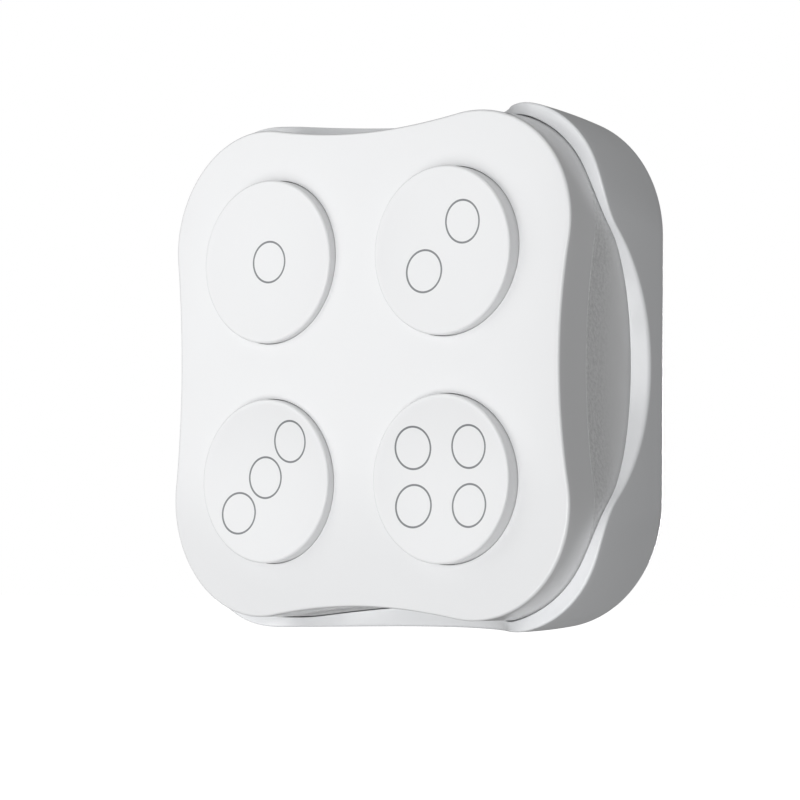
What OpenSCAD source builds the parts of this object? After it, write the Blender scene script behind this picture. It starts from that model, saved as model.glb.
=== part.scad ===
// Self-powered wireless wall switch with four push buttons.
// Drawn lying on its back: X to the right, Y up the wall, Z from the wall to the user.
// stand() then turns every piece upright, so that the buttons face -Y and +Z is up.

/* [Front block] */
// Depth from the wall to the rims of the button caps
body_depth = 28.5; // [27:0.5:33]
// How far the centre of each corner arc lies inside the middle of the sides
lobe_inset = 17.55; // [17.2:0.05:18.4]
// Radius of the corner arcs
lobe_r = 19.25; // [18.4:0.05:19.6]
// Radius of the domed face
dome_r = 500; // [400:10:1600]
// How far the top of the dome lies behind the cap rims
dome_drop = 1.08; // [0.7:0.01:2]
// Thickness of the domed face
face_t = 2; // [1.5:0.1:3]
// Thickness of the block's side walls
wall_t = 2; // [1.5:0.1:2.4]
// Height of the seam between front cover and carrier above the wall
seam_z = 18.3; // [16.5:0.1:19.3]

/* [Rear shell] */
// Overall width at the widest part of the rim
body_w = 86; // [80:0.1:92]
// Width of the rim at the middle of each side
rim_w = 2.85; // [2.5:0.05:3.6]
// Radius of the shell's corners at the rim
rim_corner_r = 18; // [17:0.1:19.5]
// Radius of the shell's corners at the wall
foot_corner_r = 21; // [19.5:0.1:21.2]
// How much narrower each side is at the wall
shell_taper = 0.55; // [0:0.05:0.9]
// Height of the rim at the corners
rim_high = 18.4; // [16:0.1:19]
// Height of the rim at the middle of each side
rim_low = 4.3; // [3.5:0.1:6]
// Radius of the scoop in each side
scoop_r = 28.5; // [26:0.5:31]
// Radius that blends each scoop into the corner
scoop_blend = 13; // [6:0.5:16]
// How far the rim's inner edge stands above its outer edge at mid side
rim_rise = 1.7; // [0:0.1:2]
// How far from mid side the rim's inner edge meets the height of its outer edge
rim_rise_reach = 22; // [14:0.5:24]
// Radius of the rim's outer edge
rim_edge_r = 0.5; // [0.3:0.1:1]
// Gap between the shell and the front block
shell_gap = 0.35; // [0.2:0.05:0.5]

/* [Buttons] */
// How far each button's centre lies inside the middle of its quarter of the face
button_shift = 1.5; // [0.9:0.05:2]
// Radius of a cap
cap_r = 13.7; // [12.5:0.1:14.2]
// Gap between a cap and its hole
cap_gap = 0.2; // [0.15:0.05:0.5]
// Depth of the dish in a cap's face
dish_sag = 0.94; // [0.3:0.01:1.4]
// Thickness of a cap's face at the middle of the dish
cap_top_t = 1.8; // [1.2:0.1:2.5]
// Thickness of a cap's side wall
cap_wall = 1.6; // [1.2:0.1:2]
// Radius of the cap's rim edge
cap_edge_r = 0.4; // [0.2:0.1:0.5]
// How far a button travels
press_travel = 2; // [1:0.1:2.2]

/* [Power generator] */
// How far the press plate travels
plate_travel = 1.8; // [1.2:0.1:1.8]
// How far the rocker tips to each side of level
rocker_tilt = 4; // [3:0.1:4]
// Thickness of the iron core
core_t = 1.6; // [1.2:0.1:1.6]
// Distance of each core leg from the middle
core_leg_y = 4.75; // [4.6:0.05:5]
// Outer radius of the coil windings
coil_r = 2.6; // [2.2:0.1:2.6]
// Radius of the rocker's pivot pin
pivot_r = 0.6; // [0.5:0.05:0.6]

/* [Fixing] */
// Distance between the two wall screws
wall_screw_pitch = 60; // [50:0.5:62]
// Radius of the wall screw holes
wall_hole_r = 2.1; // [1.6:0.1:2.5]
// Thickness of the wall plate
wall_plate_t = 2.4; // [2.2:0.1:3]
// Radius of the case screws
screw_r = 1.25; // [1:0.05:1.5]

/* [Hidden] */

$fn = 96;
eps = 0.01;
fine_fn = 720;
turn_fn = 180;
side_steps = 4;

// Colours
white_gloss = [0.95, 0.95, 0.95];
white_satin = [0.88, 0.89, 0.89];
dark_plastic = [0.16, 0.17, 0.18];
natural_plastic = [0.80, 0.78, 0.72];
steel = [0.72, 0.73, 0.75];
iron_grey = [0.45, 0.46, 0.48];
copper = [0.75, 0.42, 0.22];
board_green = [0.10, 0.36, 0.22];
silicone = [0.62, 0.64, 0.66];
foam_grey = [0.35, 0.36, 0.37];
brass_colour = [0.80, 0.66, 0.34];

// Clearances
seat_gap = 0.2;
slide_gap = 0.1;
rest_gap = 0.3;
spring_gap = 0.05;
fit_gap = 0.1;

// Front block
stations = 144;
half_w = body_w / 2;
waist_half = half_w - rim_w - shell_gap;
lobe_pos = waist_half - lobe_inset;
half_pitch = waist_half / 2 - button_shift;
waist_r = (pow(waist_half - lobe_pos, 2) + pow(lobe_pos, 2) - pow(lobe_r, 2))
    / (2 * (lobe_r - waist_half + lobe_pos));
waist_centre = waist_half + waist_r;
tangent_angle = atan2(lobe_pos, waist_centre - lobe_pos);
dome_apex = body_depth - dome_drop;
dome_reach = body_w;

// Lip of the carrier, which centres the front cover
lip_h = 1.3;
lip_t = 1;
lip_root_h = 2;
lip_inset = wall_t + fit_gap;

// Contact legs and the domes below them
leg_offset = 5;
leg_r = 1.6;
leg_hole_gap = 0.6;
leg_hole_r = leg_r + leg_hole_gap;
dome_h = 2.4;
dome_top_r = 2;
dome_base_r = 3.2;
dome_foot_h = 0.6;
dome_crown_h = 0.6;

// Stack of levels, from the wall to the user
floor_t = 1.6;
floor_z = wall_plate_t + seat_gap;
floor_top = floor_z + floor_t;
board_t = 1.2;
standoff_h = 1.2;
board_z = floor_top + standoff_h;
board_top = board_z + board_t;
board_edge = 0.4;
board_half = half_pitch + leg_offset + dome_base_r + board_edge;
leg_tip_z = board_top + dome_h + seat_gap;

// Generator levels
gen_base_t = 1.4;
gen_top = board_top + gen_base_t;
coil_gap = 0.15;
pivot_z = gen_top + coil_r + coil_gap;
pole_clear = 0.1;
pole_t = 1;
leg_w = 2;
leg_reach = core_leg_y + leg_w / 2;
pole_half_gap = core_t / 2 + leg_reach * tan(rocker_tilt) + pole_clear;
pole_cover = 0.3;
hub_half_h = pole_half_gap + pole_t + pole_cover;
leaf_t = 0.4;
leaf_z = hub_half_h;
leaf_arm = plate_travel / (2 * sin(rocker_tilt));
leaf_rest_z = pivot_z + leaf_arm * sin(rocker_tilt) + (leaf_z + leaf_t / 2) * cos(rocker_tilt);

// Press plate levels
plate_clear = 1.9;
plate_t = 1.8;
plate_z = leaf_rest_z + plate_clear;
plate_top = plate_z + plate_t;
tab_t = 1.2;
tab_z = plate_top + press_travel + rest_gap;
collar_z = tab_z + tab_t + rest_gap;

// Button details
hole_r = cap_r + cap_gap;
collar_t = 1.55;
collar_r = hole_r + collar_t;
tab_w = 6;
tab_r = collar_r - rest_gap;
dish_rim_r = cap_r - cap_edge_r;
dish_r = (pow(dish_rim_r, 2) + pow(dish_sag, 2)) / (2 * dish_sag);
cap_under_z = body_depth - dish_sag - cap_top_t;
hub_r = 3;
spigot_r = 3;
spigot_h = 1.4;
hub_z = plate_top + spigot_h + press_travel + rest_gap;

// Springs
wire_r = 0.35;
wire_sides = 6;
steps_per_turn = 12;
coil_play = 0.4;
drive_coil_r = hub_r + wire_r + coil_play;
drive_turns = 5;
return_turns = 6;

// Case pillars, which also guide the press plate
pillar_r = 3.2;
pillar_stop_r = 4.4;
pillar_base_r = 5.2;
pillar_base_h = 3.8;
pillar_base_top = floor_top + pillar_base_h;
pillar_join_h = 3;
pillar_join_z = pillar_base_top + pillar_join_h;
eye_t = 2;
eye_r = pillar_r + slide_gap + eye_t;
pillar_pos = waist_half - lip_inset - lip_t - rest_gap - eye_r;
return_coil_r = pillar_r + wire_r + coil_play;
screw_head_r = 2.3;
screw_head_h = 1.5;
screw_bite = 6;
screw_seat_z = floor_z + screw_head_h + seat_gap;
shank_gap = 0.15;
head_pocket_gap = 0.3;
recess_reach = 0.6;
recess_slot = 0.25;

// Press plate
pad_r = 8;
arm_w = 9;
leg_boss_r = 5;
fork_w = 4.6;
fork_gap = 0.25;
fork_t = 0.6;
fork_depth = 2.2;
fork_stem_t = 1.2;
leaf_end_y = leaf_arm + fork_depth / 2;

// Generator plan, along X
gen_back_x = -15.5;
yoke_w = 2.2;
leg_end_x = 5;
coil_x0 = -12.4;
coil_x1 = 0.2;
flange_t = 0.6;
bobbin_t = 0.4;
flange_r = coil_r + coil_gap - spring_gap;
web_w = 2.4;
rib_w = 1.2;
web_end_x = 0.8;
nose_half_h = 0.95;
nose_end_x = 5;
pole_x0 = 1.5;
pole_x1 = 11;
pole_half_w = 6.6;
magnet_x0 = 5.8;
magnet_x1 = 9.4;
magnet_y0 = 1.6;
magnet_y1 = 5.6;
rocker_x0 = 9.6;
rocker_x1 = 14.6;
rocker_half_w = 3;
ear_x0 = 15;
ear_x1 = 16.4;
ear_half_w = 2.4;
pivot_gap = 0.05;
gen_half_w = 9;
gen_foot_r = 1;
leaf_tail = 2.6;
pocket_z = pivot_z - hub_half_h * cos(rocker_tilt) - pole_half_w * sin(rocker_tilt) - rest_gap;
pocket_half_w = pole_half_w + rest_gap;

// Board parts
board_corner_r = 3;
board_screw_inset = 3;
board_screw_x = board_half - board_screw_inset;
board_screw_y = 11;
board_screw_r = 0.9;
board_screw_head_r = 1.7;
board_screw_head_h = 1.1;
board_hole_r = board_screw_r + seat_gap;
standoff_r = 2.4;
radio_size = [13, 11, 2.2];
radio_pos = [0, -(gen_half_w + pillar_pos - pillar_base_r) / 2];
radio_can_inset = 1;
radio_base_t = 0.8;
radio_corner_r = 0.5;
cap_can_r = 2.5;
cap_can_h = 4.8;
cap_can_base = 5.4;
cap_can_base_h = 0.9;
cap_can_corner_r = 0.7;
cap_can_pos = [-13, -16];
cap_can_step = 6.2;
rectifier_size = [5, 4.2, 1.6];
rectifier_pos = [12, -15];
rectifier_pins = 2;
regulator_size = [3, 3, 0.9];
regulator_pos = [12, -21];
regulator_pins = 3;
pin_w = 0.5;
pin_out = 0.8;
pin_t = 0.25;
antenna_y = 19.5;
antenna_half = 15;
antenna_h = 3.2;
antenna_r = 0.4;

// Wall plate
plate_lip_t = 1.3;
shell_flange_w = 4;
shell_lip_w = 2.5;
sink_w = 1.5;
sink_r = wall_hole_r + sink_w;
sink_land = 0.9;
hook_w = 6;
hook_t = 1.4;
hook_x = 14;
hook_inset = 4.6;
hook_y = waist_half - wall_t - hook_inset;
hook_barb = 0.9;
hook_barb_h = 1.4;
hook_slot_gap = 0.3;
pad_size = [24, 9];
pad_corner_r = 1.5;
pad_depth = 0.6;
pad_y = 22;

// Outlines, as polar radii about the middle

// Angle from the nearest X or Y axis, between 0 and 45 degrees
function fold(t) = abs(((t + 45) % 90) - 45);

// Polar radius of the lobed outline, grown outwards by g
function lobed_r(t, g) =
    let (a = fold(t),
         r = lobe_r + g,
         tx = lobe_pos + r * cos(tangent_angle),
         ty = lobe_pos - r * sin(tangent_angle))
    a < atan2(ty, tx)
        ? waist_centre * cos(a) - sqrt(pow(waist_r - g, 2) - pow(waist_centre * sin(a), 2))
        : lobe_pos * (cos(a) + sin(a)) + sqrt(r * r - pow(lobe_pos * (cos(a) - sin(a)), 2));

// Polar radius of a square of half width w with corners of radius r
function square_r(t, w, r) =
    let (a = fold(t), c = w - r)
    a < atan2(c, w)
        ? w / cos(a)
        : c * (cos(a) + sin(a)) + sqrt(r * r - pow(c * (cos(a) - sin(a)), 2));

function station(k) = k * 360 / stations;

function lobed_points(g) = [
    for (k = [0 : stations - 1])
        let (t = station(k))
        lobed_r(t, g) * [cos(t), sin(t)]
];

// Height of the shell's rim, at s along a side from its middle
scoop_z = rim_low + scoop_r;
blend_end = sqrt(pow(scoop_r + scoop_blend, 2) - pow(scoop_z - rim_high + scoop_blend, 2));
scoop_end = blend_end * scoop_r / (scoop_r + scoop_blend);

function rim_outer(s) =
    s < scoop_end ? scoop_z - sqrt(pow(scoop_r, 2) - s * s)
    : s < blend_end ? rim_high - scoop_blend + sqrt(pow(scoop_blend, 2) - pow(blend_end - s, 2))
    : rim_high;

function rim_inner(s) = rim_outer(s) + rim_rise * max(0, 1 - pow(s / rim_rise_reach, 2));

// Share of the way from the rim at the corners down to the wall, at height z
function down(z) = 1 - min(1, z / (rim_high - rim_edge_r));

// Polar radius of the shell's outside at angle t and height z
function shell_r(t, z) =
    square_r(t, half_w - shell_taper * pow(down(z), 2),
             rim_corner_r + (foot_corner_r - rim_corner_r) * down(z));

// Cross-section of the shell at angle t, as [radius, height]
function shell_section(t) =
    let (inner_r = lobed_r(t, shell_gap),
         top = rim_outer(shell_r(t, rim_high) * sin(fold(t))),
         inner_top = rim_inner(inner_r * sin(fold(t))),
         side_z = top - rim_edge_r,
         side_r = shell_r(t, side_z),
         slope = (inner_top - top) / (side_r - inner_r),
         arc = rim_edge_r * (1 - cos(45)))
    [
        for (k = [0 : side_steps])
            let (z = side_z * k / side_steps)
            [shell_r(t, z), z],
        [side_r - arc, top - arc],
        [side_r - rim_edge_r, top + slope * rim_edge_r],
        [inner_r, inner_top],
        [inner_r, floor_z],
        [lobed_r(t, -shell_flange_w), floor_z],
        [lobed_r(t, -shell_flange_w), plate_lip_t + fit_gap],
        [lobed_r(t, -shell_lip_w), plate_lip_t + fit_gap],
        [lobed_r(t, -shell_lip_w), 0]
    ];

// Shared shapes

module stand() rotate([90, 0, 0]) children();

module quarter_turns() for (k = [0 : 3]) rotate(90 * k) children();

module each_button() {
    for (sx = [-1, 1], sy = [-1, 1]) {
        translate([sx * half_pitch, sy * half_pitch, 0]) children();
    }
}

// Places a child made for the top right button at the place of button n
module at_button(n) {
    right = n % 2 == 0 ? 0 : 1;
    low = n > 2 ? 1 : 0;
    mirror([right, 0, 0]) mirror([0, low, 0]) translate([half_pitch, half_pitch, 0]) children();
}

module each_pillar() quarter_turns() translate([pillar_pos, 0, 0]) children();

module each_hook() {
    for (sx = [-1, 1], low = [0, 1]) {
        mirror([0, low, 0]) translate([sx * hook_x, hook_y, 0]) children();
    }
}

module each_board_screw() {
    for (sx = [-1, 1], sy = [-1, 1]) {
        translate([sx * board_screw_x, sy * board_screw_y, 0]) children();
    }
}

module lobed_prism(g, z0, z1) {
    translate([0, 0, z0]) linear_extrude(z1 - z0) polygon(lobed_points(g));
}

// Everything behind the domed face, moved back by inset
module under_dome(inset) {
    rotate_extrude($fn = turn_fn) intersection() {
        translate([0, dome_apex - dome_r]) circle(r = dome_r - inset, $fn = fine_fn);
        square([dome_reach, dome_apex]);
    }
}

module domed_block(g, z0, inset) {
    intersection() {
        lobed_prism(g, z0, dome_apex);
        under_dome(inset);
    }
}

module rounded_plate(half_x, half_y, r, t) {
    linear_extrude(t) {
        square([2 * half_x - 2 * r, 2 * half_y], center = true);
        square([2 * half_x, 2 * half_y - 2 * r], center = true);
        for (sx = [-1, 1], sy = [-1, 1]) {
            translate([sx * (half_x - r), sy * (half_y - r)]) circle(r = r);
        }
    }
}

// Box from corner a to corner b
module box(a, b) translate(a) cube(b - a);

module rod(r, z0, z1) translate([0, 0, z0]) cylinder(r = r, h = z1 - z0);

// Round bar along X from x0 to x1
module bar_x(r, x0, x1) translate([x0, 0, 0]) rotate([0, 90, 0]) cylinder(r = r, h = x1 - x0);

// Open coil spring of round wire standing on z0 and reaching up to z1
module coil_spring(r, turns, z0, z1) {
    steps = turns * steps_per_turn;
    rise = (z1 - z0 - 2 * wire_r) / steps;
    rings = [
        for (i = [0 : steps])
            let (t = 360 * i / steps_per_turn)
            for (j = [0 : wire_sides - 1])
                let (q = 360 * j / wire_sides, d = r + wire_r * cos(q))
                [d * cos(t), d * sin(t), z0 + wire_r + rise * i + wire_r * sin(q)]
    ];
    sides = [
        for (i = [0 : steps - 1], j = [0 : wire_sides - 1])
            let (a = i * wire_sides + j, b = i * wire_sides + (j + 1) % wire_sides)
            each [[a, b, a + wire_sides], [b, b + wire_sides, a + wire_sides]]
    ];
    first = [for (j = [1 : wire_sides - 2]) [0, j + 1, j]];
    last_ring = steps * wire_sides;
    last = [for (j = [1 : wire_sides - 2]) [last_ring, last_ring + j, last_ring + j + 1]];
    polyhedron(points = rings, faces = concat(sides, first, last));
}

// Case

// Domed cover with a guide collar behind each hole and four screw pillars
module front_cover() {
    color(white_gloss) stand() difference() {
        union() {
            difference() {
                domed_block(0, seam_z, 0);
                domed_block(-wall_t, seam_z - eps, face_t);
            }
            intersection() {
                union() {
                    each_button() rod(collar_r, collar_z, dome_apex);
                    each_pillar() rod(pillar_stop_r, plate_top + rest_gap, dome_apex);
                    each_pillar() rod(pillar_r, pillar_join_z, dome_apex);
                }
                under_dome(face_t / 2);
            }
        }
        each_button() rod(hole_r, collar_z - eps, dome_apex + eps);
        each_pillar() rod(screw_r, pillar_join_z - eps, pillar_join_z + screw_bite);
    }
}

// Tray that carries the works, with a lip that centres the front cover
module carrier_frame() {
    color(white_satin) stand() difference() {
        union() {
            difference() {
                lobed_prism(0, floor_z, seam_z);
                lobed_prism(-wall_t, floor_top, seam_z + eps);
            }
            difference() {
                union() {
                    lobed_prism(-lip_inset, seam_z - lip_root_h, seam_z + lip_h);
                    lobed_prism(-wall_t + eps, seam_z - lip_root_h, seam_z);
                }
                lobed_prism(-lip_inset - lip_t, seam_z - lip_root_h - eps, seam_z + lip_h + eps);
            }
            each_pillar() rod(pillar_base_r, floor_z, pillar_base_top);
            each_pillar() rod(pillar_r, floor_z, pillar_join_z);
            each_board_screw() rod(standoff_r, floor_z, board_z);
        }
        each_pillar() rod(screw_head_r + head_pocket_gap, floor_z - eps, screw_seat_z);
        each_pillar() rod(screw_r + shank_gap, floor_z, pillar_join_z + eps);
        each_board_screw() rod(board_screw_r, floor_top, board_z + eps);
        each_hook() hook_slot();
    }
}

module hook_slot() {
    reach = hook_w / 2 + hook_slot_gap;
    box([-reach, -hook_slot_gap, floor_z - eps],
        [reach, hook_t + hook_barb + hook_slot_gap, floor_top + eps]);
}

// Skirt round the front block, scooped at the middle of each side
module rear_shell() {
    sections = [for (k = [0 : stations - 1]) shell_section(station(k))];
    m = len(sections[0]);
    points = [
        for (k = [0 : stations - 1], p = sections[k])
            [p[0] * cos(station(k)), p[0] * sin(station(k)), p[1]]
    ];
    faces = [
        for (k = [0 : stations - 1], j = [0 : m - 1])
            let (next = (k + 1) % stations,
                 a = k * m + j,
                 b = k * m + (j + 1) % m,
                 c = next * m + j,
                 d = next * m + (j + 1) % m)
            each [[a, b, c], [c, b, d]]
    ];
    color(white_gloss) stand() polyhedron(points = points, faces = faces);
}

// Plate that is screwed or stuck to the wall, and whose hooks hold the carrier
module wall_plate() {
    color(white_satin) stand() {
        difference() {
            union() {
                lobed_prism(-shell_lip_w - fit_gap, 0, plate_lip_t);
                lobed_prism(-shell_flange_w - fit_gap, 0, wall_plate_t);
            }
            for (side = [-1, 1]) {
                translate([side * wall_screw_pitch / 2, 0, 0]) {
                    rod(wall_hole_r, -eps, wall_plate_t + eps);
                    translate([0, 0, sink_land]) {
                        cylinder(r1 = wall_hole_r, r2 = sink_r, h = wall_plate_t - sink_land + eps);
                    }
                }
                translate([0, side * pad_y, -eps]) {
                    rounded_plate(pad_size.x / 2, pad_size.y / 2, pad_corner_r, pad_depth + eps);
                }
            }
        }
        each_hook() hook();
    }
}

module hook() {
    barb_z = floor_top + seat_gap;
    rotate([90, 0, 90]) translate([0, 0, -hook_w / 2]) linear_extrude(hook_w) polygon([
        [0, wall_plate_t],
        [hook_t, wall_plate_t],
        [hook_t, barb_z],
        [hook_t + hook_barb, barb_z],
        [hook_t, barb_z + hook_barb_h],
        [0, barb_z + hook_barb_h]
    ]);
}

module adhesive_pads() {
    color(foam_grey) stand() for (side = [-1, 1]) {
        translate([0, side * pad_y, 0]) {
            rounded_plate(pad_size.x / 2, pad_size.y / 2, pad_corner_r, pad_depth);
        }
    }
}

// Screws from the carrier into the cover's pillars
module case_screws() {
    color(steel) stand() each_pillar() difference() {
        union() {
            rod(screw_head_r, screw_seat_z - screw_head_h, screw_seat_z);
            rod(screw_r, screw_seat_z - eps, pillar_join_z + screw_bite);
        }
        cross_recess(screw_seat_z - screw_head_h, screw_head_r, screw_head_h / 2);
    }
}

module cross_recess(z, r, depth) {
    reach = r * recess_reach;
    slot = r * recess_slot;
    for (turn = [0, 90]) {
        rotate(turn) box([-reach, -slot / 2, z - eps], [reach, slot / 2, z + depth]);
    }
}

// Buttons

// Dished cap with a spring hub, four retaining tabs and a leg that works its contact
module button() {
    rotate_extrude() difference() {
        translate([0, tab_z]) square([cap_r, body_depth - tab_z]);
        translate([0, tab_z - eps]) square([cap_r - cap_wall, cap_under_z - tab_z + eps]);
        translate([0, body_depth - dish_sag + dish_r]) circle(r = dish_r, $fn = fine_fn);
        difference() {
            translate([cap_r - cap_edge_r, body_depth - cap_edge_r]) square(2 * cap_edge_r);
            translate([cap_r - cap_edge_r, body_depth - cap_edge_r]) circle(r = cap_edge_r);
        }
    }
    rod(hub_r, hub_z, cap_under_z + eps);
    translate([leg_offset, leg_offset, 0]) rod(leg_r, leg_tip_z, cap_under_z + eps);
    quarter_turns() intersection() {
        difference() {
            rod(tab_r, tab_z, tab_z + tab_t);
            rod(cap_r - cap_wall, tab_z - eps, tab_z + tab_t + eps);
        }
        box([0, -tab_w / 2, tab_z - eps], [tab_r, tab_w / 2, tab_z + tab_t + eps]);
    }
}

module placed_button(n) color(white_gloss) stand() at_button(n) button();

module drive_spring(n) {
    color(steel) stand() at_button(n) {
        coil_spring(drive_coil_r, drive_turns, plate_top + spring_gap, cap_under_z - spring_gap);
    }
}

// Works

// Plate that any button pushes through its spring, guided on the pillars
module press_plate() {
    color(dark_plastic) stand() difference() {
        union() {
            translate([0, 0, plate_z]) linear_extrude(plate_t) {
                each_button() circle(r = pad_r);
                for (turn = [0, 90]) {
                    rotate(turn) square([2 * pillar_pos, arm_w], center = true);
                }
                square(2 * half_pitch, center = true);
                quarter_turns() translate([pillar_pos, 0]) circle(r = eye_r);
                for (turn = [45, 135]) {
                    rotate(turn) square([2 * sqrt(2) * (half_pitch + leg_offset), arm_w], center = true);
                }
                for (sx = [-1, 1], sy = [-1, 1]) {
                    translate(leg_place(sx, sy)) circle(r = leg_boss_r);
                }
            }
            each_button() rod(spigot_r, plate_top - eps, plate_top + spigot_h);
            fork();
        }
        each_pillar() rod(pillar_r + slide_gap, plate_z - eps, plate_top + eps);
        for (sx = [-1, 1], sy = [-1, 1]) {
            translate(leg_place(sx, sy)) rod(leg_hole_r, plate_z - eps, plate_top + eps);
        }
    }
}

function leg_place(sx, sy) = [sx * (half_pitch + leg_offset), sy * (half_pitch + leg_offset), 0];

// C-shaped catch below the plate that holds the end of the leaf spring
module fork() {
    x0 = (rocker_x0 + rocker_x1 - fork_w) / 2;
    y1 = leaf_end_y + (leaf_z + leaf_t) * sin(rocker_tilt) + fork_gap;
    y0 = y1 - fork_depth;
    upper = leaf_rest_z + leaf_t / 2 + fork_gap;
    lower = leaf_rest_z - leaf_t / 2 - fork_gap;
    translate([x0, 0, 0]) rotate([90, 0, 90]) linear_extrude(fork_w) polygon([
        [y0, plate_z + eps],
        [y0, upper],
        [y1, upper],
        [y1, lower],
        [y0, lower],
        [y0, lower - fork_t],
        [y1 + fork_stem_t, lower - fork_t],
        [y1 + fork_stem_t, plate_z + eps]
    ]);
}

module return_springs() {
    color(steel) stand() each_pillar() {
        coil_spring(return_coil_r, return_turns, pillar_base_top + spring_gap, plate_z - spring_gap);
    }
}

module circuit_board() {
    color(board_green) stand() translate([0, 0, board_z]) difference() {
        rounded_plate(board_half, board_half, board_corner_r, board_t);
        each_board_screw() rod(board_hole_r, -eps, board_t + eps);
        each_pillar() rod(pillar_base_r + rest_gap, -eps, board_t + eps);
    }
}

module board_screws() {
    color(steel) stand() each_board_screw() difference() {
        union() {
            rod(board_screw_r, floor_top, board_top + eps);
            rod(board_screw_head_r, board_top, board_top + board_screw_head_h);
        }
        mirror([0, 0, 1]) {
            cross_recess(-board_top - board_screw_head_h, board_screw_head_r, board_screw_head_h / 2);
        }
    }
}

// Silicone domes that a button's leg pushes down on the board
module contact_domes() {
    color(silicone) stand() for (sx = [-1, 1], sy = [-1, 1]) {
        translate(leg_place(sx, sy) + [0, 0, board_top]) rotate_extrude() polygon([
            [0, 0],
            [dome_base_r, 0],
            [dome_base_r, dome_foot_h],
            [dome_top_r, dome_h - dome_crown_h],
            [dome_top_r, dome_h],
            [0, dome_h]
        ]);
    }
}

module on_board(place) translate([place.x, place.y, board_top]) children();

module radio_module() {
    inset = radio_can_inset;
    color(steel) stand() on_board(radio_pos) {
        rounded_plate(radio_size.x / 2, radio_size.y / 2, radio_corner_r, radio_base_t);
        rounded_plate(radio_size.x / 2 - inset, radio_size.y / 2 - inset, radio_corner_r, radio_size.z);
    }
}

module storage_capacitors() {
    color(steel) stand() for (side = [0, 1]) {
        on_board(cap_can_pos + [0, -side * cap_can_step]) {
            rounded_plate(cap_can_base / 2, cap_can_base / 2, cap_can_corner_r, cap_can_base_h);
            rod(cap_can_r, 0, cap_can_h);
        }
    }
}

// Moulded chip package with a row of pins on each side
module chip(size, pins) {
    box([-size.x / 2, -size.y / 2, pin_t], [size.x / 2, size.y / 2, size.z]);
    for (k = [0 : pins - 1]) {
        x = size.x * ((k + 0.5) / pins - 0.5);
        box([x - pin_w / 2, -size.y / 2 - pin_out, 0], [x + pin_w / 2, size.y / 2 + pin_out, pin_t + eps]);
    }
}

module rectifier() {
    color(dark_plastic) stand() on_board(rectifier_pos) chip(rectifier_size, rectifier_pins);
}

module voltage_regulator() {
    color(dark_plastic) stand() on_board(regulator_pos) chip(regulator_size, regulator_pins);
}

// Bent wire with a foot at each end
module antenna_wire() {
    color(brass_colour) stand() translate([0, antenna_y, board_top]) {
        for (side = [-1, 1]) {
            translate([side * antenna_half, 0, 0]) {
                rod(antenna_r, 0, antenna_h);
                translate([0, 0, antenna_h]) sphere(r = antenna_r);
            }
        }
        translate([0, 0, antenna_h]) bar_x(antenna_r, -antenna_half, antenna_half);
    }
}

// Generator

// Base with a wall behind the core, a bearing nose between the legs, a bearing ear
// and a pocket that the rocker and its poles dip into
module generator_frame() {
    color(natural_plastic) stand() difference() {
        union() {
            box([gen_back_x - gen_foot_r, -gen_half_w, board_top], [ear_x1, gen_half_w, gen_top]);
            box([coil_x1, -web_w / 2, gen_top - eps], [web_end_x, web_w / 2, pivot_z + nose_half_h]);
            box([gen_back_x + yoke_w, -rib_w / 2, gen_top - eps], [coil_x1 + eps, rib_w / 2, pivot_z]);
            box([web_end_x - eps, -web_w / 2, pivot_z - nose_half_h],
                [nose_end_x, web_w / 2, pivot_z + nose_half_h]);
            box([ear_x0, -ear_half_w, gen_top - eps], [ear_x1, ear_half_w, pivot_z + ear_half_w]);
            box([gen_back_x - gen_foot_r, -leg_reach, gen_top - eps],
                [gen_back_x + yoke_w, leg_reach, pivot_z - core_t / 2]);
        }
        translate([0, 0, pivot_z]) bar_x(pivot_r, web_end_x + flange_t, ear_x1 + eps);
        box([pole_x0 - rest_gap, -pocket_half_w, pocket_z],
            [rocker_x1 + rest_gap, pocket_half_w, gen_top + eps]);
    }
}

// U-shaped core whose leg ends stand between the pole plates
module iron_core() {
    color(iron_grey) stand() translate([0, 0, pivot_z - core_t / 2]) {
        box([gen_back_x, -leg_reach, 0], [gen_back_x + yoke_w, leg_reach, core_t]);
        for (side = [-1, 1]) {
            translate([gen_back_x, side * core_leg_y - leg_w / 2, 0]) {
                cube([leg_end_x - gen_back_x, leg_w, core_t]);
            }
        }
    }
}

module each_leg() for (side = [-1, 1]) translate([0, side * core_leg_y, pivot_z]) children();

// Rectangular sleeve round a core leg
module leg_bore(gap) {
    box([coil_x0 - eps, -leg_w / 2 - gap, -core_t / 2 - gap],
        [coil_x1 + eps, leg_w / 2 + gap, core_t / 2 + gap]);
}

module coil_bobbins() {
    barrel_r = bobbin_r();
    color(dark_plastic) stand() each_leg() difference() {
        union() {
            bar_x(barrel_r, coil_x0, coil_x1);
            bar_x(flange_r, coil_x0, coil_x0 + flange_t);
            bar_x(flange_r, coil_x1 - flange_t, coil_x1);
        }
        leg_bore(spring_gap);
    }
}

function bobbin_r() = norm([leg_w / 2, core_t / 2]) + bobbin_t;

module coil_windings() {
    color(copper) stand() each_leg() difference() {
        bar_x(coil_r, coil_x0 + flange_t, coil_x1 - flange_t);
        bar_x(bobbin_r(), coil_x0, coil_x1);
    }
}

module pivot_pin() {
    color(steel) stand() translate([0, 0, pivot_z]) bar_x(pivot_r, web_end_x + flange_t, ear_x1);
}

// Places the rocker's pieces at the tilt that the released switch has
module tipped() translate([0, 0, pivot_z]) rotate([rocker_tilt, 0, 0]) children();

module rocker() {
    color(natural_plastic) stand() tipped() difference() {
        box([rocker_x0, -rocker_half_w, -hub_half_h], [rocker_x1, rocker_half_w, hub_half_h]);
        bar_x(pivot_r + pivot_gap, rocker_x0 - eps, rocker_x1 + eps);
        pole_shapes();
    }
}

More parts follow.
